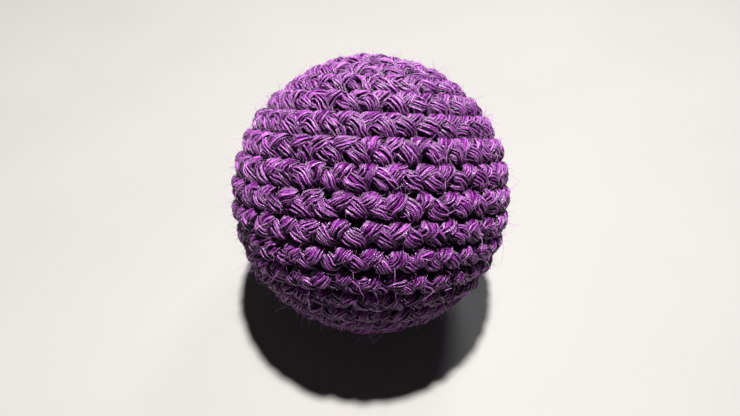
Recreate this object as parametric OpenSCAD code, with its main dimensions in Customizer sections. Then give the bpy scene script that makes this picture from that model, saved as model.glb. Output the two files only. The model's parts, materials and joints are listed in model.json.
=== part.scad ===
// Crocheted juggling ball: a cover worked in rounds over a filled, sewn pouch.
// The ball rests on the small flat that its soft fill settles into. The
// crochet axis runs from the start ring, low at the front, to the gathered
// end, high at the back.

/* [Ball] */
// Outside diameter over the crests of the rounds
ball_d = 64; // [60:0.5:72]
// Diameter of the flat that the soft ball settles onto
rest_patch_d = 16; // [12:0.5:20]
// Lean of the crochet axis back from straight up, in degrees
work_tilt = 38; // [0:1:60]

/* [Crochet cover] */
// Number of rounds from the start ring to the gathered end
rounds = 18; // [16:1:20]
// Thickness of the crocheted fabric
cover_t = 5.2; // [4.4:0.1:5.6]
// Radius of one round's rounded crest in section
crest_r = 4.2; // [3.6:0.1:5]
// Diameter of the yarn
yarn_d = 2.2; // [1.8:0.1:2.4]
// Radius of the loop that gathers the last round
gather_r = 2.6; // [2.4:0.1:3.2]
// How far each buried tail runs round inside the cover, in degrees
tail_arc = 55; // [30:5:80]

/* [Wadding and pouch] */
// Thickness of the wadding between cover and pouch
wadding_t = 2.8; // [2.8:0.1:4]
// Thickness of the pouch's cotton cloth
cloth_t = 0.5; // [0.3:0.1:0.7]
// Depth of the turned-in seam allowance
seam_allowance = 3.0; // [2:0.5:4]
// Thickness of the sewing thread
thread_d = 0.4; // [0.3:0.1:0.5]
// Length of one running stitch
stitch_len = 2.6; // [2:0.2:3.6]
// Number of overcast stitches that close the filling gap
overcast_count = 9; // [6:1:12]

/* [Filling] */
// Diameter of one dried pea
pea_d = 6.6; // [5.5:0.1:7.5]
// Free gap between neighbouring peas
pea_gap = 0.15; // [0.1:0.05:0.6]

/* [Hidden] */

ball_r = ball_d / 2;
centre_h = sqrt(ball_r * ball_r - rest_patch_d * rest_patch_d / 4);
cover_in_r = ball_r - cover_t;
wad_out_r = cover_in_r - 0.1;
wad_in_r = cover_in_r - wadding_t;
pouch_out_r = wad_in_r - 0.1;
pouch_in_r = pouch_out_r - cloth_t;
tail_r = cover_in_r - yarn_d / 2 - 0.2;
round_step = 180 / rounds;
panel_gap = 0.15;
crest_points = 6;
pouch_spin = 20;
seam_r = pouch_in_r - seam_allowance * 0.45;
stitch_step = stitch_len / seam_r * 180 / PI;
pea_r = pea_d / 2;
pea_pitch = pea_d + pea_gap;
pea_reach = pouch_in_r - pea_r - 0.15;
pea_layers = ceil(pea_reach / pea_pitch) + 1;
yarn_colour = [0.42, 0.13, 0.46];
$fn = 96;

// Puts a shape drawn round the crochet axis (+Z) into the resting ball
module in_work_frame() {
    translate([0, 0, centre_h]) rotate([-work_tilt, 0, 0]) children();
}

// Keeps what is above the surface that the ball rests on
module settled() {
    difference() {
        children();
        translate([-ball_d, -ball_d, -ball_d]) cube([2 * ball_d, 2 * ball_d, ball_d]);
    }
}

// Outer radius of the cover at an angle from the gathered end, one crest a round
function crest_radius(a) =
    let (off = a - round_step * (floor(a / round_step) + 0.5), c = ball_r - crest_r)
    c * cos(off) + sqrt(crest_r * crest_r - pow(c * sin(off), 2));

// Half section of the cover, from the gathered end down to the start ring
module cover_section() {
    polygon([for (k = [0 : rounds * crest_points])
        let (a = k * round_step / crest_points, r = crest_radius(min(a, 179.99)))
        k == 0 ? [0, r] : k == rounds * crest_points ? [0, -r] : [r * sin(a), r * cos(a)]]);
}

// Loop that draws the last round shut, in its seat at the end of the cover
module gather_loop(extra) {
    translate([0, 0, ball_r - yarn_d * 0.5]) rotate_extrude() translate([gather_r, 0]) circle(d = yarn_d + 2 * extra, $fn = 32);
}

// A tail lying against the inside of the cover, from the axis out to tail_arc
module tail_path(extra) {
    rotate([90, 0, 0]) rotate([0, 0, 90 - tail_arc]) rotate_extrude(angle = tail_arc) translate([tail_r, 0]) circle(d = yarn_d + 2 * extra, $fn = 32);
}

// One layer of a turned-in seam allowance, standing in the XZ plane
module seam_flange() {
    rotate([90, 0, 0]) linear_extrude(height = cloth_t)
        difference() {
            circle(r = pouch_in_r + 0.1);
            circle(r = pouch_in_r - seam_allowance);
            translate([-2 * ball_r, -2 * ball_r]) square([2 * ball_r + 1.5, 4 * ball_r]);
        }
}

// One quarter of the pouch with a seam allowance along each long edge
module pouch_panel(turn) {
    half_gap = asin(panel_gap / 2 / pouch_out_r);
    in_work_frame() rotate([0, 0, turn + pouch_spin]) {
        rotate([0, 0, half_gap]) rotate_extrude(angle = 90 - 2 * half_gap)
            difference() {
                circle(r = pouch_out_r);
                circle(r = pouch_in_r);
                translate([-2 * ball_r, -2 * ball_r]) square([2 * ball_r + 0.4, 4 * ball_r]);
            }
        translate([0, cloth_t + panel_gap / 2, 0]) seam_flange();
        translate([panel_gap / 2, 0, 0]) rotate([0, 0, 90]) seam_flange();
    }
}

module crochet_cover() {
    color(yarn_colour)
    settled() in_work_frame() difference() {
        rotate_extrude() cover_section();
        sphere(r = cover_in_r);
        gather_loop(0.05);
    }
}

module start_tail() {
    color(yarn_colour)
    in_work_frame() mirror([0, 0, 1]) rotate([0, 0, 250]) tail_path(0);
}

module closing_yarn() {
    color(yarn_colour)
    in_work_frame() {
        gather_loop(0);
        rotate([0, 0, 110]) tail_path(0);
    }
}

module wadding() {
    color([0.93, 0.92, 0.88])
    in_work_frame() difference() {
        sphere(r = wad_out_r);
        sphere(r = wad_in_r);
        rotate([0, 0, 110]) tail_path(0.1);
        mirror([0, 0, 1]) rotate([0, 0, 250]) tail_path(0.1);
    }
}

module pouch_panel_front() { color([0.88, 0.83, 0.72]) pouch_panel(-135); }
module pouch_panel_right() { color([0.86, 0.81, 0.70]) pouch_panel(-45); }
module pouch_panel_back() { color([0.88, 0.83, 0.72]) pouch_panel(45); }
module pouch_panel_left() { color([0.86, 0.81, 0.70]) pouch_panel(135); }

// One running stitch lying along a seam, on one face of the two flanges
module running_stitch(at, side) {
    rotate([90, 0, 0]) translate([0, 0, side * (cloth_t + panel_gap / 2 + thread_d / 2 + 0.02)])
        rotate([0, 0, at - stitch_step * 0.4]) rotate_extrude(angle = stitch_step * 0.8) translate([seam_r, 0]) circle(d = thread_d, $fn = 16);
}

module pouch_seam_thread() {
    color([0.97, 0.96, 0.93])
    in_work_frame()
        for (s = [0 : 3])
            rotate([0, 0, s * 90 + 45 + pouch_spin])
                for (k = [-12 : 12])
                    running_stitch(k * stitch_step, k % 2 == 0 ? 1 : -1);
}

// Overcast stitches over the outside of one seam, where the pouch was filled
module pouch_closing_thread() {
    color([0.97, 0.96, 0.93])
    in_work_frame() rotate([0, 0, 45 + pouch_spin])
        for (k = [0 : overcast_count - 1])
            rotate([0, -(k - (overcast_count - 1) / 2) * 5.2, 0])
                translate([pouch_in_r - 0.75, 0, 0])
                    rotate([0, 0, 0]) rotate_extrude() translate([1.35, 0]) circle(d = thread_d, $fn = 16);
}

// Close-packed layers of peas inside the pouch, clear of the seam allowances
module filling_peas() {
    color([0.80, 0.68, 0.36])
    in_work_frame() rotate([0, 0, pouch_spin + 45])
        for (k = [-pea_layers : pea_layers], j = [-pea_layers : pea_layers], i = [-pea_layers : pea_layers]) {
            p = [pea_pitch * (i + (abs(j) % 2 + abs(k) % 2) / 2 - 0.25),
                 pea_pitch * (j * sqrt(3) / 2 + (abs(k) % 2) * sqrt(3) / 6 + 0.25),
                 pea_pitch * k * sqrt(2 / 3)];
            near_seam = min(abs(p[0]), abs(p[1])) < pea_r + cloth_t + thread_d + 0.3
                        && norm(p) > pouch_in_r - seam_allowance - pea_r - 0.1;
            if (norm(p) < pea_reach && !near_seam) translate(p) sphere(r = pea_r);
        }
}

crochet_cover();
start_tail();
closing_yarn();
wadding();
pouch_panel_front();
pouch_panel_right();
pouch_panel_back();
pouch_panel_left();
pouch_seam_thread();
pouch_closing_thread();
filling_peas();
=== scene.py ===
import json
import math

import bpy
import numpy as np
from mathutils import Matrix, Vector

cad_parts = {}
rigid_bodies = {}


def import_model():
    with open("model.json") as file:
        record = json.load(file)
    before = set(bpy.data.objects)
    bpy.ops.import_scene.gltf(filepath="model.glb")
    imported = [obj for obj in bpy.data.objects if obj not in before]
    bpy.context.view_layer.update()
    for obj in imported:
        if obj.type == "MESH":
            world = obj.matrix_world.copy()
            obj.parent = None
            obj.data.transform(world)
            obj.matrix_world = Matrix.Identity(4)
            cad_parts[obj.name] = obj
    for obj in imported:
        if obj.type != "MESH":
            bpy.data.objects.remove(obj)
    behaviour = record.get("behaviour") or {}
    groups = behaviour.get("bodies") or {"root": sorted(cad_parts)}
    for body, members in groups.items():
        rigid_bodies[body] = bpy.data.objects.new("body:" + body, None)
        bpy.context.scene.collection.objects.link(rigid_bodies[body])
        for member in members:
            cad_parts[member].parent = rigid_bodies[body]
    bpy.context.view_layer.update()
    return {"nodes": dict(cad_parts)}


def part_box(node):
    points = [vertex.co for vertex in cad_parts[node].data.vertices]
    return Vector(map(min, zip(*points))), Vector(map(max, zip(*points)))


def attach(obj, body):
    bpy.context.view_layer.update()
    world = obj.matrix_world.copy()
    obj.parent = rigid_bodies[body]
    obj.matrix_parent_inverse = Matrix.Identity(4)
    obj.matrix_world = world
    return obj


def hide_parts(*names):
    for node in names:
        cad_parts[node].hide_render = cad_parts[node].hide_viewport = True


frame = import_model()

MM = 0.001

# ---------------------------------------------------------------- the ball
lo, hi = [np.array(v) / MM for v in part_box("crochet_cover")]
R = 32.0                                     # over the crests, mm
PATCH = 8.0                                  # radius of the flat it rests on
CZ = math.sqrt(R * R - PATCH * PATCH)        # height of the centre
LEAN = math.radians(38.0)                    # crochet axis, back from +Z
AXIS = np.array([0.0, math.sin(LEAN), math.cos(LEAN)])     # towards the gathered end
EX = np.array([1.0, 0.0, 0.0])
EY = np.cross(AXIS, EX)
CENTRE = np.array([0.0, 0.0, CZ])
COUNTS = [6, 12, 18, 24, 30, 36] + [36] * 7 + [30, 24, 18, 12, 6]
ROUNDS = len(COUNTS)
PITCH = math.pi / ROUNDS
rng = np.random.default_rng(7)


def sphere(phi, theta, r):
    """theta from the start ring (low end of the axis), phi growing to the right seen from outside."""
    phi, theta, r = np.broadcast_arrays(phi, theta, r)
    s, c = np.sin(theta), np.cos(theta)
    n = (s * np.cos(phi))[..., None] * EX + (s * np.sin(phi))[..., None] * EY - c[..., None] * AXIS
    return CENTRE + n * r[..., None], n


def spiral(t):
    """Middle of the work, in rounds from the start pole, after t rounds."""
    return t + 0.40 * np.exp(-t / 0.8) - 0.40 * np.exp(-(ROUNDS - t) / 0.8)


# ---------------------------------------------------------------- one stitch
# u across (1 = a stitch, + to the right), v up (1 = a round, from -0.5 to 0.5), w outward in mm
# from the middle of the fabric, samples to the next point
STITCH = np.array([
    # u, v, w, samples, thickness of the yarn
    # from the last loop, down the back to the base
    (0.90, 0.20, -1.50, 1, 0.62),
    (0.45, -0.20, -1.60, 1, 0.60),
    (0.18, -0.46, -1.50, 2, 0.60),
    # out through the base, up the right leg
    (0.13, -0.42, -0.9, 2, 0.66),
    (0.20, -0.20, 0.20, 3, 0.78),
    (0.30, 0.06, 1.35, 3, 0.92),
    (0.42, 0.26, 2.10, 3, 1.00),
    (0.56, 0.40, 1.80, 3, 0.92),
    (0.63, 0.50, 0.3, 2, 0.70),
    (0.25, 0.60, -1.2, 1, 0.60),
    (-0.20, 0.56, -1.4, 1, 0.60),
    (-0.50, 0.40, -1.3, 2, 0.62),
    # over the top and down the left leg
    (-0.53, 0.20, -0.7, 2, 0.70),
    (-0.42, 0.10, 0.35, 3, 0.88),
    (-0.25, 0.02, 1.15, 3, 1.02),
    (-0.05, -0.09, 1.55, 3, 1.07),
    (0.13, -0.21, 1.25, 3, 1.00),
    (0.25, -0.34, 0.20, 2, 0.84),
    (0.25, -0.46, -0.9, 1, 0.68),
    # up the back, out through the loop, along the top to the left
    (0.05, -0.30, -1.45, 1, 0.60),
    (0.02, 0.10, -1.40, 1, 0.60),
    (0.05, 0.42, -0.9, 2, 0.62),
    (-0.22, 0.50, -0.50, 2, 0.74),
    (-0.60, 0.49, -0.50, 2, 0.74),
    (-0.92, 0.46, -1.0, 1, 0.62),
    (-0.80, 0.46, -1.45, 1, 0.60),
    (-0.40, 0.46, -1.55, 1, 0.60),
])
W0 = R - 2.9                                 # radius of the fabric's middle


def hash_noise(n, scale, seed, octaves=1):
    """Smooth 1-D noise, one value a sample, wavelength about scale samples."""
    r = np.random.default_rng(seed)
    k = int(n / scale) + 4
    v = r.standard_normal(k)
    x = np.arange(n) / scale
    i = x.astype(int)
    f = x - i
    f = f * f * (3 - 2 * f)
    return v[i] * (1 - f) + v[i + 1] * f


def stitch_points():
    """Control points of the whole yarn: positions on the ball, samples, round of each."""
    phi, theta, w, samples, rounds, thick, heights = [], [], [], [], [], [], []
    parent_phi = None
    for n, count in enumerate(COUNTS, start=1):
        tops = -2 * math.pi * (np.arange(count) + 0.5) / count
        if n == 1:
            base = tops + 0.0
        else:
            before = COUNTS[n - 2]
            per = max(before, count) // 6
            base = np.zeros(count)
            for j in range(count):
                if count == before:
                    base[j] = parent_phi[j]
                elif count > before:
                    m = before // 6
                    g, q = divmod(j, m + 1)
                    k = (n * 2) % m
                    p = q if q <= k else q - 1
                    base[j] = parent_phi[g * m + p]
                else:
                    m = before // 6
                    g, q = divmod(j, m - 1) if m > 1 else (j, 0)
                    k = (n * 2) % (m - 1) if m > 1 else 0
                    if q < k:
                        base[j] = parent_phi[g * m + q]
                    elif q == k:
                        base[j] = 0.5 * (parent_phi[g * m + q] + parent_phi[g * m + q + 1])
                    else:
                        base[j] = parent_phi[g * m + q + 1]
            base = tops + (base - tops) * 0.45
        width = 2 * math.pi / count
        for j in range(count):
            t = n - 1 + (j + 0.5) / count
            s = STITCH.copy()
            jig = rng.standard_normal((len(s), 3)) * [0.045, 0.035, 0.18]
            shift = rng.standard_normal(2) * [0.05, 0.035]
            lean = rng.standard_normal() * 0.10
            tall = 1 + rng.standard_normal() * 0.05
            fat = rng.standard_normal() * 0.12
            u = s[:, 0] + jig[:, 0] + lean * s[:, 1] * 1.2 + shift[0]
            v = s[:, 1] * tall + jig[:, 1] + shift[1]
            ww = s[:, 2] + jig[:, 2] + fat * (s[:, 2] > 0.5)
            pull = np.clip(0.5 - v, 0, 1.1)
            mid = tops[j] + (base[j] - tops[j]) * pull
            p = mid + u * width
            tt = t - u / count               # the work climbs as it goes left
            th = spiral(tt) + v
            # near the poles the rounds can't pass the axis
            low, high = 0.34, ROUNDS - 0.34
            th = low + np.logaddexp(0, (th - low) * 3.5) / 3.5
            th = high - np.logaddexp(0, (high - th) * 3.5) / 3.5
            phi.append(p)
            theta.append(th * PITCH)
            w.append(ww)
            samples.append(s[:, 3].astype(int))
            rounds.append(np.full(len(s), n))
            thick.append(s[:, 4] * (1 + rng.standard_normal() * 0.05))
            heights.append(th - spiral(tt))
        parent_phi = tops
    return [np.concatenate(a) for a in (phi, theta, w, samples, rounds, thick, heights)]


phi, theta, w, samples, rounds, thick, heights = stitch_points()
stitch_no = np.repeat(np.arange(len(phi) // len(STITCH)), len(STITCH))
ctrl, _ = sphere(phi, theta, W0 + w)


def bspline(P, samples):
    """Uniform cubic B-spline through the list, samples[i] points between i and i+1."""
    n = len(P)
    idx, par = [], []
    for i in range(1, n - 2):
        k = samples[i]
        for a in range(k):
            idx.append(i)
            par.append(a / k)
    idx = np.array(idx)
    x = np.array(par)[:, None]
    a, b, c, d = P[idx - 1], P[idx], P[idx + 1], P[idx + 2]
    pos = ((1 - x) ** 3 * a + (3 * x ** 3 - 6 * x ** 2 + 4) * b + (-3 * x ** 3 + 3 * x ** 2 + 3 * x + 1) * c + x ** 3 * d) / 6
    return pos, idx, np.array(par)


# B-splines cut corners, so the control points are pushed out to compensate
def sharpen(P, k):
    Q = P.copy()
    Q[1:-1] += k * (P[1:-1] - 0.5 * (P[:-2] + P[2:]))
    return Q


line, seg, part = bspline(sharpen(ctrl, 0.45), samples)
line_round = rounds[seg]
line_v = heights[seg] * (1 - part) + heights[seg + 1] * part
line_thick = thick[seg] * (1 - part) + thick[seg + 1] * part

# nothing stands below the surface the ball rests on, or past its crests
tangent = np.gradient(line, axis=0)
step = np.linalg.norm(np.diff(line, axis=0), axis=1)
along = np.concatenate([[0], np.cumsum(step)])
tangent /= np.linalg.norm(tangent, axis=1)[:, None]
out = line - CENTRE
radius = np.linalg.norm(out, axis=1)
out /= radius[:, None]
line_theta = np.arccos(np.clip(-(out @ AXIS), -1, 1))


def rotation_frames(pos, tan):
    """Rotation-minimising frames, by double reflection."""
    n = len(pos)
    r = np.zeros((n, 3))
    v = np.cross(tan[0], [0.3, 0.5, 0.8])
    r[0] = v / np.linalg.norm(v)
    px, tx = pos.tolist(), tan.tolist()
    cur = r[0].tolist()
    for i in range(n - 1):
        v1 = [px[i + 1][k] - px[i][k] for k in range(3)]
        c1 = v1[0] ** 2 + v1[1] ** 2 + v1[2] ** 2
        if c1 < 1e-12:
            r[i + 1] = cur
            continue
        d1 = 2 / c1 * (v1[0] * cur[0] + v1[1] * cur[1] + v1[2] * cur[2])
        d2 = 2 / c1 * (v1[0] * tx[i][0] + v1[1] * tx[i][1] + v1[2] * tx[i][2])
        rl = [cur[k] - d1 * v1[k] for k in range(3)]
        tl = [tx[i][k] - d2 * v1[k] for k in range(3)]
        v2 = [tx[i + 1][k] - tl[k] for k in range(3)]
        c2 = v2[0] ** 2 + v2[1] ** 2 + v2[2] ** 2
        if c2 > 1e-12:
            d3 = 2 / c2 * (v2[0] * rl[0] + v2[1] * rl[1] + v2[2] * rl[2])
            rl = [rl[k] - d3 * v2[k] for k in range(3)]
        cur = rl
        r[i + 1] = cur
    r -= (r * tan).sum(1)[:, None] * tan
    return r / np.linalg.norm(r, axis=1)[:, None]


RM = rotation_frames(line, tangent)
RB = np.cross(tangent, RM)
N = len(line)

# ---------------------------------------------------------------- the strands
STRANDS = 20                                 # round the outside of the yarn
INNER = 5                                    # filling its middle
TURN = 0.10                                  # radians a mm
YARN_R = 1.36
STRAND_R = 0.175
SIDES = 3

flat = out - (out * tangent).sum(1)[:, None] * tangent
flat_len = np.linalg.norm(flat, axis=1)
flat_dir = flat / np.maximum(flat_len, 1e-6)[:, None]
flat_amt = flat_len ** 2
side_dir = np.cross(tangent, flat_dir)


def bundle(k):
    """Centre line of strand k of the yarn."""
    seed = 100 + k * 17
    inner = k >= STRANDS
    ang = 2 * math.pi * (k - STRANDS) / INNER if inner else 2 * math.pi * k / STRANDS
    ang = ang + TURN * along + 0.15 * hash_noise(N, 6, seed) + 0.14 * hash_noise(N, 18, seed + 3) + 0.07 * hash_noise(N, 2.2, seed + 5)
    rad = YARN_R * (0.50 if inner else 1.0) * line_thick * (1 + 0.08 * hash_noise(N, 6, seed + 1) + 0.06 * hash_noise(N, 25, seed + 2) + 0.04 * hash_noise(N, 2.3, seed + 6))
    off = rad[:, None] * (np.cos(ang)[:, None] * RM + np.sin(ang)[:, None] * RB)
    a = (off * flat_dir).sum(1)
    b = (off * side_dir).sum(1)
    off = off - (0.34 * flat_amt * a)[:, None] * flat_dir + (0.22 * flat_amt * b)[:, None] * side_dir
    return groove(line + off, line_v)


GROOVE = 1.75                                # how far the fabric falls away between two rounds


def groove(P, v):
    """Holds a line under the rounded section of its round, v from -0.5 to 0.5."""
    d = P - CENTRE
    l = np.linalg.norm(d, axis=1)
    th = np.arccos(np.clip(-(d @ AXIS) / l, -1, 1))
    vv = v + (th - line_theta) / PITCH
    lim = R + 0.05 - STRAND_R - GROOVE * np.minimum(np.abs(2 * vv + 0.02), 1.2) ** 3.2
    over = l - lim
    push = np.logaddexp(0, over * 4.0) / 4.0
    return P - d / l[:, None] * (push * 0.85)[:, None]


def settle(P, r):
    """Keeps a line of radius r inside the ball and above the table, softly."""
    d = P - CENTRE
    l = np.linalg.norm(d, axis=1)
    lim = R + 0.25 - r
    over = np.maximum(l - lim, 0)
    P = P - d / l[:, None] * (over * 0.75)[:, None]
    z = P[:, 2]
    zmin = r
    P[:, 2] = zmin + np.logaddexp(0, (z - zmin) * 2.5) / 2.5
    return P


def tube(P, r, sides, keep, spin=0.0):
    """Vertices and quads of a closed tube along P[keep]."""
    P = P[keep]
    n = len(P)
    t = np.gradient(P, axis=0)
    t /= np.linalg.norm(t, axis=1)[:, None]
    d = P - CENTRE
    e = np.cross(t, d)
    e /= np.maximum(np.linalg.norm(e, axis=1), 1e-9)[:, None]
    f = np.cross(e, t)
    rr = (r[keep] if hasattr(r, "__len__") else np.full(n, r))
    a = 2 * np.pi * np.arange(sides) / sides + spin
    v = P[:, None, :] + rr[:, None, None] * (np.cos(a)[None, :, None] * e[:, None, :] + np.sin(a)[None, :, None] * f[:, None, :])
    i = np.arange(n - 1)[:, None] * sides
    k = np.arange(sides)[None, :]
    q = np.stack([i + k, i + (k + 1) % sides, i + sides + (k + 1) % sides, i + sides + k], axis=-1).reshape(-1, 4)
    return v.reshape(-1, 3), q, n


def make_mesh(name, verts, quads, attrs, caps=None):
    me = bpy.data.meshes.new(name)
    nv, nq = len(verts), len(quads)
    me.vertices.add(nv)
    me.vertices.foreach_set("co", (verts * MM).astype(np.float32).ravel())
    caps = [] if caps is None else [np.asarray(c) if len(set(c)) == len(c) else np.asarray(c[:-1]) for c in caps]
    nc = len(caps)
    widths = np.array([len(c) for c in caps], dtype=int)
    me.loops.add(nq * 4 + int(widths.sum()))
    loops = quads.ravel()
    if nc:
        loops = np.concatenate([loops] + caps)
    me.loops.foreach_set("vertex_index", loops.astype(np.int32))
    me.polygons.add(nq + nc)
    starts = np.arange(nq) * 4
    if nc:
        starts = np.concatenate([starts, nq * 4 + np.concatenate([[0], np.cumsum(widths)[:-1]])])
    me.polygons.foreach_set("loop_start", starts.astype(np.int32))
    totals = np.concatenate([np.full(nq, 4), widths]) if nc else np.full(nq, 4)
    me.polygons.foreach_set("loop_total", totals.astype(np.int32))
    me.polygons.foreach_set("use_smooth", np.ones(nq + nc, dtype=bool))
    me.update(calc_edges=True)
    me.validate()
    for key, val in attrs.items():
        if val.ndim == 2:
            at = me.attributes.new(key, "FLOAT_VECTOR", "POINT")
            at.data.foreach_set("vector", val.astype(np.float32).ravel())
        else:
            at = me.attributes.new(key, "FLOAT", "POINT")
            at.data.foreach_set("value", val.astype(np.float32))
    ob = bpy.data.objects.new(name, me)
    bpy.context.scene.collection.objects.link(ob)
    return ob


strand_lines = [settle(bundle(k), STRAND_R) for k in range(STRANDS + INNER)]

yarn_pieces = []
PER_PIECE = 18                               # stitches in one piece, so that none grows past its budget


def build_piece(name, keep):
    V, Q, F, S, C = [], [], [], [], []
    base, outer_quads, outer_caps = 0, 0, 0
    for k in range(STRANDS + INNER):
        inner = k >= STRANDS
        sides = 3 if inner else SIDES
        rr = (0.40 if inner else STRAND_R) * (1 + 0.10 * hash_noise(N, 14, 900 + k)) * (0.5 + 0.5 * line_thick)
        runs = [keep]
        if k % 2 or inner:                   # deep in the fabric, where it can't be seen, these strands are left out
            shown = np.linalg.norm(strand_lines[k][keep] - CENTRE, axis=1) > R - 4.1
            shown[1:-1] |= shown[:-2] | shown[2:]
            cuts = np.nonzero(np.diff(np.concatenate([[0], shown.astype(int), [0]])))[0]
            runs = [keep[i:j] for i, j in zip(cuts[::2], cuts[1::2]) if j - i >= 4]
        for run in runs:
            v, q, m = tube(strand_lines[k], rr, sides, run, spin=k)
            # random tone for each outer strand; the inner strands are set below zero, which the yarn material turns
            # into painted shade
            tone = (k * 0.618) % 1 - (0.5 if inner else 0)
            V.append(v)
            Q.append(q + base)
            ang = np.tile(2 * np.pi * np.arange(sides) / sides, m) + np.repeat(along[run], sides) * 3.2
            F.append(np.stack([np.repeat(along[run], sides) + 41.0 * k, 0.42 * np.cos(ang), 0.42 * np.sin(ang)], axis=1))
            S.append(np.full(m * sides, tone))
            for cap in (base + np.arange(sides)[::-1], base + (m - 1) * sides + np.arange(sides)):
                C.append(cap)
            base += m * sides
            if not inner:
                outer_quads += len(q)
                outer_caps += 2
    V = np.concatenate(V)
    depth = np.linalg.norm(V - CENTRE, axis=1) - R
    ob = make_mesh(name, V, np.concatenate(Q), {"fibre": np.concatenate(F), "strand": np.concatenate(S), "depth": depth}, caps=C)
    total = len(ob.data.polygons)
    nq = sum(len(q) for q in Q)
    # inner strands take the second slot, the shaded copy of the yarn
    which = np.zeros(total, dtype=np.int32)
    which[outer_quads:nq] = 1
    which[nq + outer_caps:] = 1
    ob.data.polygons.foreach_set("material_index", which)
    return ob


line_stitch = stitch_no[seg]
first = 0
for n, count in enumerate(COUNTS, start=1):
    parts = max(1, math.ceil(count / PER_PIECE))
    for q in range(parts):
        a, b = first + q * count // parts, first + (q + 1) * count // parts
        where = np.nonzero((line_stitch >= a) & (line_stitch < b))[0]
        keep = np.arange(where[0], min(where[-1] + 2, N))
        tag = "" if parts == 1 else "_" + "abc"[q]
        yarn_pieces.append(build_piece(f"cover_round_{n:02d}{tag}", keep))
    first += count
print("yarn length m", along[-1] / 1000, "rings", N, "tris", sum(len(o.data.polygons) * 2 for o in yarn_pieces))



# ---------------------------------------------------------------- loose fibres
def hairs(name, count, seed, length, thin, outward, curl, low=0.35):
    """Fine fibres that stand off the strands, curved, three-sided and tapering."""
    r = np.random.default_rng(seed)
    near = np.nonzero((radius > R - 3.2) & (line[:, 2] > 1.2))[0]
    # most stand in the furrows between the rounds, where nothing rubs them off
    chance = 0.30 + np.minimum(np.abs(2 * line_v[near]), 1.1) ** 2
    i = r.choice(near, count, p=chance / chance.sum())
    k = r.integers(0, STRANDS, count)
    P0 = np.stack(strand_lines[:STRANDS])[k, i]
    away = P0 - line[i]
    away /= np.linalg.norm(away, axis=1)[:, None]
    n = P0 - CENTRE
    dist = np.linalg.norm(n, axis=1)
    n /= dist[:, None]
    side = r.standard_normal((count, 3))
    side -= (side * n).sum(1)[:, None] * n
    side /= np.linalg.norm(side, axis=1)[:, None]
    amt = outward * (0.3 + 1.0 * r.random(count))
    d = 0.35 * away + amt[:, None] * n + side * (1.25 - outward)
    d /= np.linalg.norm(d, axis=1)[:, None]
    L = length * (low + r.random(count) ** 2 * (1.9 - low))
    bend = r.standard_normal((count, 3)) * curl
    twist = r.standard_normal((count, 3)) * curl * 0.8
    SEG = 4
    pts = []
    for a in range(SEG + 1):
        x = a / SEG
        p = P0 + L[:, None] * (d * x + bend * x * x + twist * x * x * x - 0.12 * n * x * x)
        pts.append(p)
    P = np.stack(pts, axis=1)                     # count, SEG+1, 3
    P[..., 2] = np.maximum(P[..., 2], 0.05)
    T = np.gradient(P, axis=1)
    T /= np.maximum(np.linalg.norm(T, axis=2), 1e-9)[..., None]
    e = np.cross(T, n[:, None, :] + 0.3 * side[:, None, :])
    e /= np.maximum(np.linalg.norm(e, axis=2), 1e-9)[..., None]
    f = np.cross(e, T)
    taper = np.linspace(1.0, 0.35, SEG + 1)[None, :]
    rr = thin * (0.7 + 0.6 * r.random(count))[:, None] * taper
    ang = 2 * np.pi * np.arange(3) / 3
    V = P[:, :, None, :] + rr[:, :, None, None] * (np.cos(ang)[None, None, :, None] * e[:, :, None, :] + np.sin(ang)[None, None, :, None] * f[:, :, None, :])
    nv = (SEG + 1) * 3
    ring = np.arange(SEG)[:, None] * 3
    kk = np.arange(3)[None, :]
    q = np.stack([ring + kk, ring + (kk + 1) % 3, ring + 3 + (kk + 1) % 3, ring + 3 + kk], axis=-1).reshape(-1, 4)
    Q = (np.arange(count)[:, None, None] * nv + q[None]).reshape(-1, 4)
    caps = []
    b0 = np.arange(count) * nv
    caps = np.concatenate([np.stack([b0 + 2, b0 + 1, b0], 1), np.stack([b0 + nv - 3, b0 + nv - 2, b0 + nv - 1], 1)])
    tone = np.repeat(r.random(count), nv)
    return make_mesh(name, V.reshape(-1, 3), Q, {"tone": tone}, caps=caps)


fuzz_pieces = [hairs(f"cover_fuzz_{k + 1}", 5200, 21 + k, 0.66 + 0.05 * k, 0.040, (0.35, 0.55, 0.75, 0.95, 1.1)[k], 0.85) for k in range(5)]
fuzz_pieces.append(hairs("cover_stray_fibres", 300, 33, 1.1, 0.032, 0.6, 1.2, low=0.5))

# ---------------------------------------------------------------- materials
def new_mat(name):
    m = bpy.data.materials.new(name)
    m.use_nodes = True
    nt = m.node_tree
    for x in list(nt.nodes):
        nt.nodes.remove(x)
    o = nt.nodes.new("ShaderNodeOutputMaterial")
    p = nt.nodes.new("ShaderNodeBsdfPrincipled")
    nt.links.new(p.outputs[0], o.inputs[0])
    return m, nt, p


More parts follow.
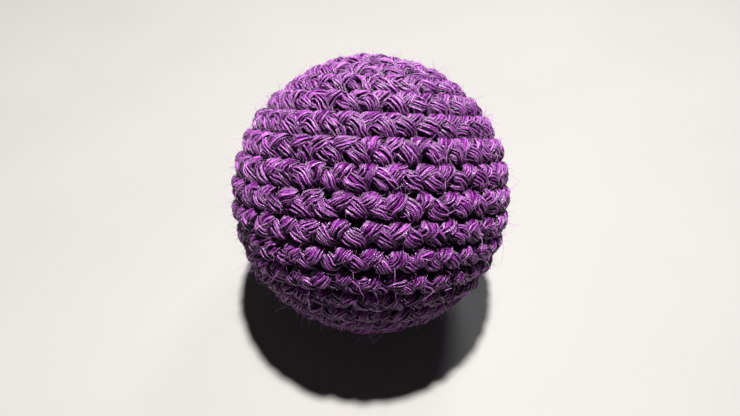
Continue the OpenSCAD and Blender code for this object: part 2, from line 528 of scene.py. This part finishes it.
def yarn_material(name="purple_cotton_yarn", shaded_core=False):
    m, nt, p = new_mat(name)
    L = nt.links.new

    def node(kind, **kw):
        x = nt.nodes.new(kind)
        for k, v in kw.items():
            setattr(x, k, v)
        return x

    st = node("ShaderNodeAttribute", attribute_name="strand")
    fb = node("ShaderNodeAttribute", attribute_name="fibre")
    dp = node("ShaderNodeAttribute", attribute_name="depth")
    # fibres run along each strand: fine streaks, and slower patches of lighter and darker dye; each strand's own value
    # is added too, a random tone for the outer strands and painted shade for the inner ones
    sc = node("ShaderNodeVectorMath", operation="MULTIPLY")
    sc.inputs[1].default_value = (1.3, 3.4, 3.4)
    L(fb.outputs["Vector"], sc.inputs[0])
    streak = node("ShaderNodeTexNoise")
    streak.inputs["Scale"].default_value = 2.2
    streak.inputs["Detail"].default_value = 3
    L(sc.outputs[0], streak.inputs["Vector"])
    patch = node("ShaderNodeTexNoise")
    patch.inputs["Scale"].default_value = 0.22
    patch.inputs["Detail"].default_value = 2
    L(fb.outputs["Vector"], patch.inputs["Vector"])
    a1 = node("ShaderNodeMath", operation="MULTIPLY_ADD")
    L(st.outputs["Fac"], a1.inputs[0]); a1.inputs[1].default_value = 0.30
    L(patch.outputs["Fac"], a1.inputs[2])
    a2 = node("ShaderNodeMath", operation="MULTIPLY_ADD")
    L(streak.outputs["Fac"], a2.inputs[0]); a2.inputs[1].default_value = 1.15
    L(a1.outputs[0], a2.inputs[2])
    ramp = node("ShaderNodeValToRGB")
    e = ramp.color_ramp.elements
    e[0].position = 0.61; e[0].color = (0.040, 0.0012, 0.048, 1)
    e[1].position = 0.95; e[1].color = (0.36, 0.088, 0.40, 1)
    e2 = ramp.color_ramp.elements.new(0.80); e2.color = (0.120, 0.006, 0.146, 1)
    sub = node("ShaderNodeMath", operation="MULTIPLY"); sub.inputs[1].default_value = 0.665
    L(a2.outputs[0], sub.inputs[0])
    L(sub.outputs[0], ramp.inputs[0])
    # painted shade: the base colour darkens with depth below the crests, to 0.12 at 3 mm down, deepest in the furrows
    # between rounds and in the fabric's inner layers
    recess_shade = node("ShaderNodeMapRange")
    recess_shade.inputs["From Min"].default_value = -3.0; recess_shade.inputs["From Max"].default_value = -0.5
    recess_shade.inputs["To Min"].default_value = 0.12; recess_shade.inputs["To Max"].default_value = 1.0
    L(dp.outputs["Fac"], recess_shade.inputs["Value"])
    # painted shade: strands with a value below zero, the inner ones, are darkened to as little as 0.45 for the shade in
    # the yarn's middle; outer strands keep their random tone
    core = node("ShaderNodeMapRange")
    core.inputs["From Min"].default_value = -0.5; core.inputs["From Max"].default_value = 0.0
    core.inputs["To Min"].default_value = 0.45; core.inputs["To Max"].default_value = 1.0
    L(st.outputs["Fac"], core.inputs["Value"])
    # the painted shade of depth and the painted shade of the yarn's middle, multiplied into the base colour
    painted_shade_factor = node("ShaderNodeMath", operation="MULTIPLY")
    L(recess_shade.outputs[0], painted_shade_factor.inputs[0]); L(core.outputs[0], painted_shade_factor.inputs[1])
    mul = node("ShaderNodeMix", data_type="RGBA", blend_type="MULTIPLY")
    mul.inputs[0].default_value = 1.0
    L(ramp.outputs[0], mul.inputs[6]); L(painted_shade_factor.outputs[0], mul.inputs[7])
    L(mul.outputs[2], p.inputs["Base Color"])
    rr = node("ShaderNodeMapRange")
    rr.inputs["From Min"].default_value = 0.36; rr.inputs["From Max"].default_value = 0.56
    rr.inputs["To Min"].default_value = 0.14; rr.inputs["To Max"].default_value = 0.48
    L(streak.outputs["Fac"], rr.inputs["Value"])
    L(rr.outputs[0], p.inputs["Roughness"])
    bump = node("ShaderNodeBump")
    bump.inputs["Strength"].default_value = 0.8
    bump.inputs["Distance"].default_value = 0.00022
    L(streak.outputs["Fac"], bump.inputs["Height"])
    L(bump.outputs[0], p.inputs["Normal"])
    # the shaded copy for the inner strands has little specular and no sheen, so that they read as in shade
    p.inputs["Specular IOR Level"].default_value = 0.1 if shaded_core else 0.9
    p.inputs["IOR"].default_value = 1.45 if shaded_core else 1.52
    p.inputs["Sheen Weight"].default_value = 0.0 if shaded_core else 0.08
    p.inputs["Sheen Roughness"].default_value = 0.35
    p.inputs["Sheen Tint"].default_value = (0.92, 0.70, 0.98, 1)
    return m


# the yarn, and its shaded copy for the inner strands
YARN, YARN_SHADED_CORE = yarn_material(), yarn_material("purple_cotton_core_shaded", shaded_core=True)
for ob in yarn_pieces:
    index = np.zeros(len(ob.data.polygons), dtype=np.int32)
    ob.data.polygons.foreach_get("material_index", index)
    ob.data.materials.append(YARN)
    ob.data.materials.append(YARN_SHADED_CORE)
    ob.data.polygons.foreach_set("material_index", index)
    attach(ob, "root")
    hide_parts("crochet_cover")



def fuzz_material():
    m, nt, p = new_mat("purple_cotton_fuzz")
    L = nt.links.new
    at = nt.nodes.new("ShaderNodeAttribute"); at.attribute_name = "tone"
    ramp = nt.nodes.new("ShaderNodeValToRGB")
    e = ramp.color_ramp.elements
    e[0].position = 0.0; e[0].color = (0.20, 0.035, 0.22, 1)
    e[1].position = 1.0; e[1].color = (0.60, 0.30, 0.62, 1)
    e2 = ramp.color_ramp.elements.new(0.65); e2.color = (0.32, 0.07, 0.36, 1)
    L(at.outputs["Fac"], ramp.inputs[0])
    L(ramp.outputs[0], p.inputs["Base Color"])
    p.inputs["Roughness"].default_value = 0.45
    p.inputs["Specular IOR Level"].default_value = 0.7
    return m


FUZZ = fuzz_material()
for ob in fuzz_pieces:
    ob.data.materials.append(FUZZ)
    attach(ob, "root")

# ---------------------------------------------------------------- inside the cover
COVER_IN = 26.8                              # inner radius of the crocheted fabric
WAD_IN = 24.0                                # inner radius of the wadding
POUCH_R = 23.62                              # middle of the pouch's cloth
POUCH_IN = 23.4
SPIN = math.radians(20.0)                    # turn of the pouch round the crochet axis


def local(azimuth, rho, height):
    """A point from its turn round the crochet axis, distance from it, and height along it."""
    azimuth, rho, height = np.broadcast_arrays(azimuth, rho, height)
    return CENTRE + (rho * np.cos(azimuth))[..., None] * EX + (rho * np.sin(azimuth))[..., None] * EY + height[..., None] * AXIS


def resampled(P, step):
    """A smooth line through P with points step apart."""
    P = np.asarray(P, float)
    for _ in range(3):
        P = np.concatenate([P[:1], np.stack([0.75 * P[:-1] + 0.25 * P[1:], 0.25 * P[:-1] + 0.75 * P[1:]], 1).reshape(-1, 3), P[-1:]])
    d = np.concatenate([[0], np.cumsum(np.linalg.norm(np.diff(P, axis=0), axis=1))])
    x = np.linspace(0, d[-1], max(8, int(d[-1] / step)))
    return np.stack([np.interp(x, d, P[:, k]) for k in range(3)], 1), x


def stranded(name, points, yarn_r, seed, reach):
    """The cover's own yarn along another line, held within reach of the ball's centre."""
    P, x = resampled(points, 0.35)
    t = np.gradient(P, axis=0)
    t /= np.linalg.norm(t, axis=1)[:, None]
    rm = rotation_frames(P, t)
    rb = np.cross(t, rm)
    n = len(P)
    V, Q, F, S, C, base = [], [], [], [], [], 0
    for k in range(STRANDS + INNER):
        inner = k >= STRANDS
        a = (2 * math.pi * (k - STRANDS) / INNER if inner else 2 * math.pi * k / STRANDS) + TURN * 2.2 * x
        a = a + 0.14 * hash_noise(n, 7, seed + k) + 0.10 * hash_noise(n, 20, seed + 50 + k)
        r = yarn_r * (0.45 if inner else 1.0) * (1 + 0.07 * hash_noise(n, 6, seed + 100 + k)) * np.clip(0.55 + 2.0 * np.minimum(x, x[-1] - x), 0, 1)
        L = P + r[:, None] * (np.cos(a)[:, None] * rm + np.sin(a)[:, None] * rb)
        d = L - CENTRE
        l = np.linalg.norm(d, axis=1)
        L = L - d / l[:, None] * (np.maximum(l - reach, 0) * 0.9)[:, None]
        v, q, m = tube(L, np.full(n, 0.17), SIDES, np.arange(n), spin=k)
        # random tone for each outer strand; the inner strands are set below zero, which the yarn material turns into
        # painted shade
        tone = (k * 0.618) % 1 - (0.5 if inner else 0)
        V.append(v)
        Q.append(q + base)
        ang = np.tile(2 * np.pi * np.arange(SIDES) / SIDES, m) + np.repeat(x, SIDES) * 3.2
        F.append(np.stack([np.repeat(x, SIDES) + 41.0 * k, 0.42 * np.cos(ang), 0.42 * np.sin(ang)], axis=1))
        S.append(np.full(m * SIDES, tone))
        C.append(base + np.arange(SIDES)[::-1])
        C.append(base + (m - 1) * SIDES + np.arange(SIDES))
        base += m * SIDES
    V = np.concatenate(V)
    depth = np.linalg.norm(V - CENTRE, axis=1) - R
    return make_mesh(name, V, np.concatenate(Q), {"fibre": np.concatenate(F), "strand": np.concatenate(S), "depth": depth}, caps=C)


def tail_line(azimuth, side):
    a = np.radians(np.linspace(3, 55, 24))
    r = COVER_IN - 1.28
    wob = 0.5 * np.sin(np.linspace(0, 7, 24))
    return local(azimuth + wob / (r * np.sin(a) + 2), r * np.sin(a), side * r * np.cos(a))


def drawn_loop(start, side, turns):
    """The yarn goes round the axis in and out of the six end stitches, then down through the middle."""
    a = np.linspace(0, 2 * math.pi * turns, int(30 * turns))
    rho = 1.75 + 0.30 * np.sin(6 * a)
    h = R - 2.35 + 0.45 * np.cos(6 * a)
    loop = local(start - a, rho, side * h)
    drop = local(np.full(4, start - a[-1]), np.array([1.1, 0.5, 0.25, 0.5]), side * np.array([R - 2.9, R - 3.8, R - 5.0, R - 6.2]))
    return np.concatenate([loop, drop])


closing_line = np.concatenate([drawn_loop(0.6, 1, 1.15), tail_line(math.radians(110), 1)])
start_line = np.concatenate([drawn_loop(2.1, -1, 1.0), tail_line(math.radians(250), -1)])
closing_mesh = stranded("closing_yarn_strands", closing_line, 0.80, 4000, R - 0.9)
start_mesh = stranded("start_tail_strands", start_line, 0.80, 5000, R - 0.9)
for ob, node_name in ((closing_mesh, "closing_yarn"), (start_mesh, "start_tail")):
    ob.data.materials.append(YARN)
    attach(ob, "root")
    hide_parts(node_name)


class Lumps:
    """Smooth noise in space, from a sum of waves."""

    def __init__(self, seed, wavelength, waves=24):
        r = np.random.default_rng(seed)
        k = r.standard_normal((waves, 3))
        k /= np.linalg.norm(k, axis=1)[:, None]
        self.k = k * (2 * math.pi / wavelength) * (0.6 + 0.9 * r.random(waves))[:, None]
        self.ph = r.random(waves) * 2 * math.pi
        self.n = math.sqrt(waves / 2)

    def __call__(self, P):
        return np.sin(P @ self.k.T + self.ph).sum(-1) / self.n


def ball_grid(rows, cols):
    """Unit directions of a closed sphere grid with its poles on the crochet axis, and its quads and end fans."""
    th = math.pi * (np.arange(rows) + 0.5) / rows
    ph = 2 * math.pi * np.arange(cols) / cols
    n = (np.sin(th)[:, None, None] * (np.cos(ph)[None, :, None] * EX + np.sin(ph)[None, :, None] * EY) + np.cos(th)[:, None, None] * AXIS).reshape(-1, 3)
    i = np.arange(rows - 1)[:, None] * cols
    k = np.arange(cols)[None, :]
    q = np.stack([i + k, i + cols + k, i + cols + (k + 1) % cols, i + (k + 1) % cols], -1).reshape(-1, 4)
    return n, q


def near_line(P, L):
    """Distance from each of P to the nearest point of the line L."""
    best = np.full(len(P), 1e9)
    for p in L[::2]:
        best = np.minimum(best, np.linalg.norm(P - p, axis=1))
    return best


def wadding_layer():
    """A lumpy layer of fluffed fibre, with a bed pressed in it for each tail."""
    n, q = ball_grid(110, 220)
    lump, fine = Lumps(61, 11.0), Lumps(62, 2.6)
    top = COVER_IN - 0.42 + 0.14 * lump(n * 26) + 0.07 * fine(n * 26)
    top = np.minimum(top, COVER_IN - 0.12)
    P = CENTRE + n * (COVER_IN - 1.3)
    bed = np.minimum(near_line(P, closing_line), near_line(P, start_line))
    top = np.minimum(top, WAD_IN + 0.35 + np.maximum(bed - 1.0, 0) * 2.2)
    low = WAD_IN + 0.12 + 0.05 * np.abs(fine(n * 24 + 9))
    V = np.concatenate([CENTRE + n * top[:, None], CENTRE + n * low[:, None]])
    Q = np.concatenate([q, q[:, ::-1] + len(n)])
    cols = 220
    caps = [np.arange(cols), np.arange(len(n) - cols, len(n))[::-1], (np.arange(cols) + len(n))[::-1], np.arange(2 * len(n) - cols, 2 * len(n))]
    return make_mesh("wadding_layer", V, Q, {"fibre": V}, caps=caps)


def wadding_fibres(name, count, seed):
    """Crimped polyester fibres lying over the wadding."""
    r = np.random.default_rng(seed)
    n = r.standard_normal((count, 3))
    n /= np.linalg.norm(n, axis=1)[:, None]
    d = r.standard_normal((count, 3))
    d -= (d * n).sum(1)[:, None] * n
    d /= np.linalg.norm(d, axis=1)[:, None]
    b = np.cross(n, d)
    L = 3.0 + 6.0 * r.random(count)
    turn = r.standard_normal(count) * 0.9
    SEG = 9
    pts = []
    for k in range(SEG + 1):
        x = k / SEG - 0.5
        p = n * (COVER_IN - 0.42) + (L * x)[:, None] * d + (0.35 * L * turn * x * x)[:, None] * b + (0.12 * np.sin(k * 2.1 + 9 * turn))[:, None] * b
        p = p / np.linalg.norm(p, axis=1)[:, None] * (COVER_IN - 0.30 + 0.12 * np.sin(k * 1.7 + 5 * turn))[:, None]
        pts.append(CENTRE + p)
    P = np.stack(pts, axis=1)
    T = np.gradient(P, axis=1)
    T /= np.linalg.norm(T, axis=2)[..., None]
    e = np.cross(T, n[:, None, :])
    e /= np.maximum(np.linalg.norm(e, axis=2), 1e-9)[..., None]
    f = np.cross(e, T)
    ang = 2 * np.pi * np.arange(3) / 3
    V = P[:, :, None, :] + 0.03 * (np.cos(ang)[None, None, :, None] * e[:, :, None, :] + np.sin(ang)[None, None, :, None] * f[:, :, None, :])
    nv = (SEG + 1) * 3
    ring = np.arange(SEG)[:, None] * 3
    kk = np.arange(3)[None, :]
    q = np.stack([ring + kk, ring + (kk + 1) % 3, ring + 3 + (kk + 1) % 3, ring + 3 + kk], axis=-1).reshape(-1, 4)
    Q = (np.arange(count)[:, None, None] * nv + q[None]).reshape(-1, 4)
    b0 = np.arange(count) * nv
    caps = np.concatenate([np.stack([b0 + 2, b0 + 1, b0], 1), np.stack([b0 + nv - 3, b0 + nv - 2, b0 + nv - 1], 1)])
    V = V.reshape(-1, 3)
    return make_mesh(name, V, Q, {"fibre": V}, caps=caps)


def panel(name, turn, seed):
    """One quarter of the pouch: pressed out by the peas, puckered along its seams, edges turned in."""
    seam, flange, thick = 0.16, 3.0, 0.38
    rows, arc, fold = 116, 66, 7
    th = np.radians(np.linspace(3.2, 176.8, rows))[:, None]
    lump, weave = Lumps(seed, 8.5), Lumps(seed + 1, 3.0)
    half = math.pi / 4
    x = np.linspace(-1, 1, arc)[None, :]
    edge = 1 - np.abs(x)
    margin = np.arcsin(np.clip((seam + thick / 2 + 0.06) / (POUCH_R * np.sin(th)), -1, 1))
    az = turn + SPIN + half + x * (half - margin)
    rho = np.sin(th)
    d = rho[..., None] * (np.cos(az)[..., None] * EX + np.sin(az)[..., None] * EY) + (np.cos(th) + 0 * x)[..., None] * AXIS
    pucker = 0.11 * np.sin(th * POUCH_R / 1.3 + 3 * x) * np.exp(-edge * 7)
    r = POUCH_R - 0.18 + 0.13 * lump(d * 24) * np.clip(edge * 6, 0, 1) + 0.03 * weave(d * 24) + pucker - 0.30 * np.exp(-edge * 22)
    mid = CENTRE + d * np.minimum(r, POUCH_R + 0.02)[..., None]
    s_arc = x * half * POUCH_R * np.sin(th)
    # turned-in edges run towards the axis beside the seam's own plane
    sides = []
    for sign in (-1, 1):
        az0 = turn + SPIN + half + sign * half
        into = np.linspace(0, 1, fold + 1)[1:][None, :]
        rr = (POUCH_R - 0.5) - into * flange
        plane = rho[..., None] * (np.cos(az0) * EX + np.sin(az0) * EY) + (np.cos(th))[..., None] * AXIS
        nrm = -sign * (-np.sin(az0) * EX + np.cos(az0) * EY)
        gap = seam + thick / 2 + 0.03 + 0.05 * (1 + np.sin(th * POUCH_R / 1.3 + 1.5)) * into
        P = CENTRE + plane * rr[..., None] + gap[..., None] * nrm
        sides.append((P, sign * (half * POUCH_R * np.sin(th) + into * flange)))
    mid = np.concatenate([sides[0][0][:, ::-1], mid, sides[1][0]], axis=1)
    s = np.concatenate([sides[0][1][:, ::-1], s_arc, sides[1][1]], axis=1)
    cols = mid.shape[1]
    gu, gv = np.gradient(mid, axis=1), np.gradient(mid, axis=0)
    nrm = np.cross(gv, gu)
    nrm /= np.maximum(np.linalg.norm(nrm, axis=2), 1e-9)[..., None]
    if (nrm[rows // 2, cols // 2] * (mid[rows // 2, cols // 2] - CENTRE)).sum() < 0:
        nrm = -nrm
    V = np.concatenate([(mid + nrm * thick / 2).reshape(-1, 3), (mid - nrm * thick / 2).reshape(-1, 3)])
    i = np.arange(rows - 1)[:, None] * cols
    k = np.arange(cols - 1)[None, :]
    q = np.stack([i + k, i + cols + k, i + cols + k + 1, i + k + 1], -1).reshape(-1, 4)
    off = rows * cols
    rim = []
    a = np.arange(cols - 1)
    rim.append(np.stack([a, a + 1, a + 1 + off, a + off], 1))
    a = (rows - 1) * cols + np.arange(cols - 1)
    rim.append(np.stack([a + 1, a, a + off, a + 1 + off], 1))
    a = np.arange(rows - 1) * cols
    rim.append(np.stack([a + cols, a, a + off, a + cols + off], 1))
    a = np.arange(rows - 1) * cols + cols - 1
    rim.append(np.stack([a, a + cols, a + cols + off, a + off], 1))
    Q = np.concatenate([q, q[:, ::-1] + off] + rim)
    ts = (th * POUCH_R + 0 * s)
    F = np.stack([np.tile(s.ravel(), 2), np.tile(ts.ravel(), 2), np.repeat([0.0, 1.0], off)], 1)
    return make_mesh(name, V, Q, {"fibre": F})


def pea_centres():
    pea_r, pitch = 3.3, 6.75
    reach = POUCH_IN - pea_r - 0.15
    layers = math.ceil(reach / pitch) + 1
    found = []
    for k in range(-layers, layers + 1):
        for j in range(-layers, layers + 1):
            for i in range(-layers, layers + 1):
                p = np.array([pitch * (i + (abs(j) % 2 + abs(k) % 2) / 2 - 0.25), pitch * (j * math.sqrt(3) / 2 + (abs(k) % 2) * math.sqrt(3) / 6 + 0.25), pitch * k * math.sqrt(2 / 3)])
                near = min(abs(p[0]), abs(p[1])) < pea_r + 0.5 + 0.4 + 0.3 and np.linalg.norm(p) > POUCH_IN - 3.0 - pea_r - 0.1
                if np.linalg.norm(p) < reach and not near:
                    found.append(p)
    return np.array(found)


def peas():
    """Dried peas: not quite round, with shallow dimples and a small scar where each grew on its pod."""
    r = np.random.default_rng(77)
    n, q = ball_grid(16, 22)
    cols = 22
    a = SPIN + math.pi / 4
    ex = math.cos(a) * EX + math.sin(a) * EY
    ey = -math.sin(a) * EX + math.cos(a) * EY
    V, Q, C, F, T, H, base = [], [], [], [], [], [], 0
    for c in pea_centres():
        c = CENTRE + c[0] * ex + c[1] * ey + c[2] * AXIS
        m = np.linalg.qr(r.standard_normal((3, 3)))[0]
        if np.linalg.det(m) < 0:
            m[:, 0] *= -1
        u = n @ m.T
        seed = int(r.integers(1 << 30))
        dents = Lumps(seed, 1.1, 10)(u)
        squash = 1 - 0.035 * r.random() * u[:, 2] ** 2 - 0.03 * r.random() * np.abs(u[:, 0])
        spot = np.exp(-((1 - u[:, 0]) / 0.03))
        rad = 3.29 * squash * (0.975 + 0.012 * np.tanh(dents)) * (1 - 0.02 * spot)
        v = c + u * rad[:, None]
        V.append(v)
        Q.append(q + base)
        C += [base + np.arange(cols), base + len(n) - cols + np.arange(cols)[::-1]]
        F.append(u * 3.3 + r.random(3) * 100)
        T.append(np.full(len(n), r.random()))
        H.append(spot)
        base += len(n)
    return make_mesh("dried_peas", np.concatenate(V), np.concatenate(Q), {"fibre": np.concatenate(F), "tone": np.concatenate(T), "spot": np.concatenate(H)}, caps=C)


def simple_material(name, low, high, scale, detail, rough, bump_mm, strength, stretch=(1, 1, 1), attr="fibre"):
    m, nt, p = new_mat(name)
    L = nt.links.new
    at = nt.nodes.new("ShaderNodeAttribute"); at.attribute_name = attr
    sc = nt.nodes.new("ShaderNodeVectorMath"); sc.operation = "MULTIPLY"; sc.inputs[1].default_value = stretch
    L(at.outputs["Vector"], sc.inputs[0])
    nz = nt.nodes.new("ShaderNodeTexNoise")
    nz.inputs["Scale"].default_value = scale; nz.inputs["Detail"].default_value = detail
    L(sc.outputs[0], nz.inputs["Vector"])
    ramp = nt.nodes.new("ShaderNodeValToRGB")
    ramp.color_ramp.elements[0].position = 0.3; ramp.color_ramp.elements[0].color = (*low, 1)
    ramp.color_ramp.elements[1].position = 0.7; ramp.color_ramp.elements[1].color = (*high, 1)
    L(nz.outputs["Fac"], ramp.inputs[0])
    L(ramp.outputs[0], p.inputs["Base Color"])
    mr = nt.nodes.new("ShaderNodeMapRange")
    mr.inputs["To Min"].default_value = rough - 0.08; mr.inputs["To Max"].default_value = rough + 0.08
    L(nz.outputs["Fac"], mr.inputs["Value"]); L(mr.outputs[0], p.inputs["Roughness"])
    bump = nt.nodes.new("ShaderNodeBump")
    bump.inputs["Distance"].default_value = bump_mm * MM; bump.inputs["Strength"].default_value = strength
    L(nz.outputs["Fac"], bump.inputs["Height"]); L(bump.outputs[0], p.inputs["Normal"])
    return m, nt, p, nz, ramp, bump, at


def cloth_material():
    """Unbleached plain-weave cotton: threads 0.45 mm apart each way, slubs and paler flecks."""
    m, nt, p, nz, ramp, bump, at = simple_material("pouch_calico", (0.56, 0.49, 0.37), (0.80, 0.74, 0.61), 1.1, 4, 0.86, 0.10, 0.7)
    L = nt.links.new
    sep = nt.nodes.new("ShaderNodeSeparateXYZ"); L(at.outputs["Vector"], sep.inputs[0])
    waves = []
    for k in (0, 1):
        mul = nt.nodes.new("ShaderNodeMath"); mul.operation = "MULTIPLY"; mul.inputs[1].default_value = 2 * math.pi / 0.9
        L(sep.outputs[k], mul.inputs[0])
        sn = nt.nodes.new("ShaderNodeMath"); sn.operation = "SINE"; L(mul.outputs[0], sn.inputs[0])
        waves.append(sn)
    prod = nt.nodes.new("ShaderNodeMath"); prod.operation = "MULTIPLY"
    L(waves[0].outputs[0], prod.inputs[0]); L(waves[1].outputs[0], prod.inputs[1])
    add = nt.nodes.new("ShaderNodeMath"); add.operation = "MULTIPLY_ADD"; add.inputs[1].default_value = 0.5
    L(prod.outputs[0], add.inputs[0]); L(nz.outputs["Fac"], add.inputs[2])
    L(add.outputs[0], bump.inputs["Height"])
    p.inputs["Sheen Weight"].default_value = 0.2
    return m


def thread_material():
    """Two-ply cotton sewing thread, its ply marked by slanting bands."""
    m, nt, p = new_mat("sewing_cotton")
    L = nt.links.new
    tc = nt.nodes.new("ShaderNodeNewGeometry")
    wv = nt.nodes.new("ShaderNodeTexWave"); wv.bands_direction = "DIAGONAL"
    wv.inputs["Scale"].default_value = 900; wv.inputs["Distortion"].default_value = 2.0; wv.inputs["Detail"].default_value = 2
    L(tc.outputs["Position"], wv.inputs["Vector"])
    ramp = nt.nodes.new("ShaderNodeValToRGB")
    ramp.color_ramp.elements[0].color = (0.72, 0.69, 0.60, 1); ramp.color_ramp.elements[1].color = (0.93, 0.91, 0.85, 1)
    L(wv.outputs["Fac"], ramp.inputs[0]); L(ramp.outputs[0], p.inputs["Base Color"])
    bump = nt.nodes.new("ShaderNodeBump"); bump.inputs["Distance"].default_value = 0.00006; bump.inputs["Strength"].default_value = 0.8
    L(wv.outputs["Fac"], bump.inputs["Height"]); L(bump.outputs[0], p.inputs["Normal"])
    p.inputs["Roughness"].default_value = 0.7
    return m


def pea_material():
    m, nt, p, nz, ramp, bump, at = simple_material("dried_pea_skin", (0.46, 0.34, 0.10), (0.78, 0.63, 0.27), 0.55, 5, 0.5, 0.12, 0.6)
    L = nt.links.new
    tn = nt.nodes.new("ShaderNodeAttribute"); tn.attribute_name = "tone"
    ad = nt.nodes.new("ShaderNodeMath"); ad.operation = "MULTIPLY_ADD"; ad.inputs[1].default_value = 0.35
    L(tn.outputs["Fac"], ad.inputs[0]); L(nz.outputs["Fac"], ad.inputs[2])
    sb = nt.nodes.new("ShaderNodeMath"); sb.operation = "SUBTRACT"; sb.inputs[1].default_value = 0.17
    L(ad.outputs[0], sb.inputs[0]); L(sb.outputs[0], ramp.inputs[0])
    sp = nt.nodes.new("ShaderNodeAttribute"); sp.attribute_name = "spot"
    mx = nt.nodes.new("ShaderNodeMix"); mx.data_type = "RGBA"
    L(sp.outputs["Fac"], mx.inputs[0]); L(ramp.outputs[0], mx.inputs[6]); mx.inputs[7].default_value = (0.10, 0.06, 0.02, 1)
    L(mx.outputs[2], p.inputs["Base Color"])
    return m


WAD = simple_material("polyester_wadding", (0.70, 0.69, 0.66), (0.92, 0.92, 0.90), 0.9, 6, 0.85, 0.35, 1.0, stretch=(1, 0.35, 0.6))
WAD[2].inputs["Sheen Weight"].default_value = 0.4
CALICO, COTTON, PEA = cloth_material(), thread_material(), pea_material()

wad = wadding_layer()
wad_fibres = [wadding_fibres(f"wadding_fibres_{k + 1}", 1500, 81 + k) for k in range(2)]
for ob in [wad] + wad_fibres:
    ob.data.materials.append(WAD[0])
    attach(ob, "root")
    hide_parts("wadding")

for tag, turn in (("front", -135), ("right", -45), ("back", 45), ("left", 135)):
    ob = panel(f"pouch_cloth_{tag}", math.radians(turn), 300 + turn)
    ob.data.materials.append(CALICO)
    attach(ob, "root")
    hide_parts(f"pouch_panel_{tag}")

pea_mesh = peas()
pea_mesh.data.materials.append(PEA)
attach(pea_mesh, "root")
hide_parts("filling_peas")

for name in ("pouch_seam_thread", "pouch_closing_thread"):
    ob = frame["nodes"][name]
    ob = ob if hasattr(ob, "data") else bpy.data.objects[ob if isinstance(ob, str) else name]
    if len(ob.material_slots):
        for sl in ob.material_slots:
            sl.material = COTTON
    else:
        ob.data.materials.append(COTTON)

# ---------------------------------------------------------------- stage
S = 1.6
me = bpy.data.meshes.new("floor")
me.from_pydata([(-S, -S, 0), (S, -S, 0), (S, S, 0), (-S, S, 0)], [], [(0, 1, 2, 3)])
floor = bpy.data.objects.new("floor", me)
bpy.context.scene.collection.objects.link(floor)
fm, nt, p = new_mat("floor_paper")
nz = nt.nodes.new("ShaderNodeTexNoise"); nz.inputs["Scale"].default_value = 60
rp = nt.nodes.new("ShaderNodeValToRGB")
rp.color_ramp.elements[0].color = (0.172, 0.168, 0.161, 1); rp.color_ramp.elements[1].color = (0.190, 0.185, 0.178, 1)
nt.links.new(nz.outputs["Fac"], rp.inputs[0]); nt.links.new(rp.outputs[0], p.inputs["Base Color"])
p.inputs["Roughness"].default_value = 0.7
floor.data.materials.append(fm)

world = bpy.data.worlds.new("studio")
bpy.context.scene.world = world
world.use_nodes = True
world.node_tree.nodes["Background"].inputs[0].default_value = (0.95, 0.97, 1.0, 1)
world.node_tree.nodes["Background"].inputs[1].default_value = 0.035


def area(name, pos, target, size, power, colour=(1, 1, 1)):
    li = bpy.data.lights.new(name, "AREA")
    li.shape = "DISK"
    li.size = size
    li.energy = power
    li.color = colour
    ob = bpy.data.objects.new(name, li)
    bpy.context.scene.collection.objects.link(ob)
    ob.location = pos
    ob.rotation_euler = (Vector(target) - Vector(pos)).to_track_quat("-Z", "Y").to_euler()
    return ob


T = (0, 0, CZ * MM)
area("key", (0.03, 0.075, 0.72), T, 0.05, 21.0, (1, 0.985, 0.96))
area("back", (0.25, 0.45, 0.55), T, 0.20, 2.6, (0.92, 0.96, 1.0))
area("fill", (-0.45, -0.55, 0.45), T, 0.5, 0.3, (1, 0.98, 0.96))

# ---------------------------------------------------------------- camera
D = 4.2
ELEV = math.radians(45.0)
FPX = 140.5 / math.tan(math.asin(1 / D))
centre = np.array([0, 0, CZ])
cam_pos = centre + D * R * np.array([0, -math.cos(ELEV), math.sin(ELEV)])
cam = bpy.data.cameras.new("camera")
cam.sensor_width = 36
cam.lens = FPX * 36 / 740
cam.clip_start = 0.005
camo = bpy.data.objects.new("camera", cam)
bpy.context.scene.collection.objects.link(camo)
camo.location = Vector(cam_pos * MM)
# aims a little below the ball's centre, so that it stands at (371.3, 194.4) in the frame
pitch = math.atan((208 - 194.4) / FPX)
yaw = math.atan((371.3 - 370) / FPX)
camo.rotation_euler = (math.pi / 2 - ELEV - pitch, 0, yaw)
bpy.context.scene.camera = camo

bpy.context.scene.view_settings.view_transform = "Standard"
